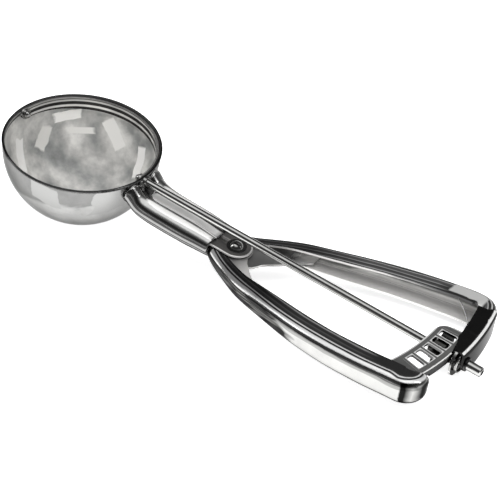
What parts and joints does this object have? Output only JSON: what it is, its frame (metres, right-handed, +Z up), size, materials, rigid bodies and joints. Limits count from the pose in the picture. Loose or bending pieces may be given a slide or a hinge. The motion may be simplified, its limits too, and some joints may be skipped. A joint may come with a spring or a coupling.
{
  "type": "lever ice cream scoop",
  "caption": "Polished steel portion scoop: squeezing two channel handles turns a rack and pinion that sweeps a scraper blade through a round bowl.",
  "frame": {"origin": "on the surface the tool lies on, below the middle of its bounding box", "axes": "+Z up, +X from the bowl towards the handles, -Y the side of the moving handle"},
  "size_m": [0.2064, 0.0608, 0.0363],
  "materials": {
    "polished_steel": "polished stainless steel",
    "washer_steel": "plain",
    "dark_washer": "dark",
    "pinion_steel": "plain",
    "spring_steel": "plain wire"
  },
  "bodies": {
    "frame": {"bowl": "polished_steel", "neck_channel": "polished_steel", "fixed_handle": "polished_steel", "guide_plate": "polished_steel", "shaft_bracket": "polished_steel", "shaft_bush": "polished_steel", "blade_pivot_pin": "polished_steel", "blade_pivot_washer": "washer_steel", "pivot_rivet": "polished_steel", "pivot_head_washer": "washer_steel", "pivot_lower_washer": "washer_steel", "return_spring": "spring_steel"},
    "lever": {"moving_handle": "polished_steel", "rack_plate": "polished_steel"},
    "shaft": {"drive_shaft": "polished_steel", "pinion": "pinion_steel", "scraper_blade": "polished_steel", "blade_drive_washer": "washer_steel", "shaft_end_collar": "polished_steel", "shaft_end_washer": "dark_washer"}
  },
  "joints": [
    {"name": "lever_squeeze", "type": "hinge", "parent": "frame", "child": "lever", "pos_m": [-0.00078, -0.00017, 0.0123], "axis": [0.1426, 0, 0.9898], "range_deg": [0, 7.9], "stiffness_Nm_per_rad": 1.2, "springref_deg": -5.73},
    {"name": "shaft_turn", "type": "hinge", "parent": "frame", "child": "shaft", "pos_m": [-0.0724, -0.00017, 0.0299], "axis": [0.9898, 0, -0.1426], "range_deg": [-155.5, 0], "deforming": ["return_spring"]}
  ],
  "couplings": [
    {"joint": "shaft_turn", "follows": "lever_squeeze", "ratio": -19.596}
  ]
}
